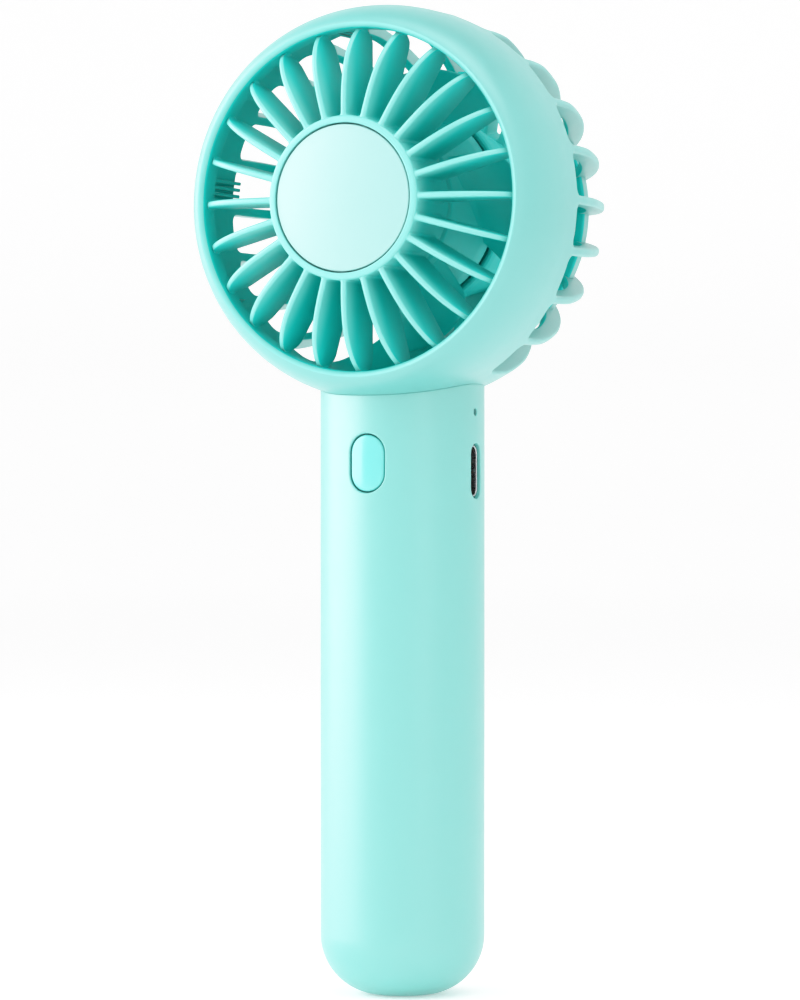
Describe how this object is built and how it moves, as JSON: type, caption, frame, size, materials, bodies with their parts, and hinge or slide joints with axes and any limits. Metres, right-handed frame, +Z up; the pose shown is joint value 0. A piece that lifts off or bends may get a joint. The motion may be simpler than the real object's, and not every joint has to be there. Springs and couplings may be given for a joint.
{
  "type": "handheld electric fan",
  "caption": "Battery hand fan: round head with radial front vanes and a finned rear cage, on a plain round handle with a power button and a charging socket.",
  "frame": {"origin": "centre of the flat foot at the bottom of the handle", "axes": "+Z up the handle to the head, -Y the way the air blows, +X the charging-socket side"},
  "size_m": [0.068, 0.0536, 0.1701],
  "materials": {
    "body_mint": "fine satin moulded ABS",
    "grille_mint": "satin moulded ABS",
    "cap_mint": "fine satin moulded ABS",
    "impeller_teal": "smooth moulded ABS",
    "button_cyan": "smooth, glossier than the body",
    "lens_teal": "tinted light pipe",
    "steel": "plain machined steel",
    "port_steel": "nickel plated sheet",
    "ferrite": "sintered dark ferrite",
    "motor_alloy": "cast alloy",
    "lamination": "coated steel laminations",
    "copper": "enamelled copper wire, drawn as solid coils",
    "board_green": "glass-epoxy board with green solder mask",
    "chip_black": "moulded black epoxy and nylon",
    "frame_white": "natural moulded plastic",
    "cell_can": null,
    "paper_ring": "barley paper washer",
    "wire_red": "insulated wire",
    "wire_black": "insulated wire",
    "foam_grey": "closed-cell foam pad"
  },
  "bodies": {
    "housing": {"head_shell": "body_mint", "front_grille": "grille_mint", "hub_cap": "cap_mint", "rear_cap": "body_mint", "front_bearing": "steel", "rear_bearing": "steel", "motor_base": "motor_alloy", "stator_core": "lamination", "motor_windings": "copper", "motor_board": "board_green", "motor_screws": "steel", "handle_shell": "body_mint", "inner_frame": "frame_white", "circuit_board": "board_green", "board_chips": "chip_black", "board_screws": "steel", "usb_shell": "port_steel", "usb_tongue": "chip_black", "tact_switch": "chip_black", "charge_led": "frame_white", "led_lens": "lens_teal", "battery_cell": "cell_can", "battery_insulator": "paper_ring", "battery_tabs": "port_steel", "battery_lead_red": "wire_red", "battery_lead_black": "wire_black", "motor_lead_red": "wire_red", "motor_lead_black": "wire_black", "foam_pads": "foam_grey", "neck_screws": "steel"},
    "rotor": {"impeller": "impeller_teal", "rotor_can": "steel", "magnet_ring": "ferrite", "motor_shaft": "steel", "shaft_clip": "steel"},
    "button": {"power_button": "button_cyan"},
    "plunger": {"switch_plunger": "frame_white"}
  },
  "joints": [
    {"name": "impeller_spin", "type": "hinge", "parent": "housing", "child": "rotor", "pos_m": [0, 0, 0.13615], "axis": [0, -1, 0], "continuous": true},
    {"name": "button_press", "type": "slide", "parent": "housing", "child": "button", "axis": [0, 1, 0], "range_m": [0, 0.0005], "stiffness_N_per_m": 600},
    {"name": "plunger_press", "type": "slide", "parent": "housing", "child": "plunger", "axis": [0, 1, 0], "range_m": [0, 0.0005], "stiffness_N_per_m": 300}
  ],
  "couplings": [
    {"joint": "plunger_press", "follows": "button_press", "ratio": 1}
  ]
}
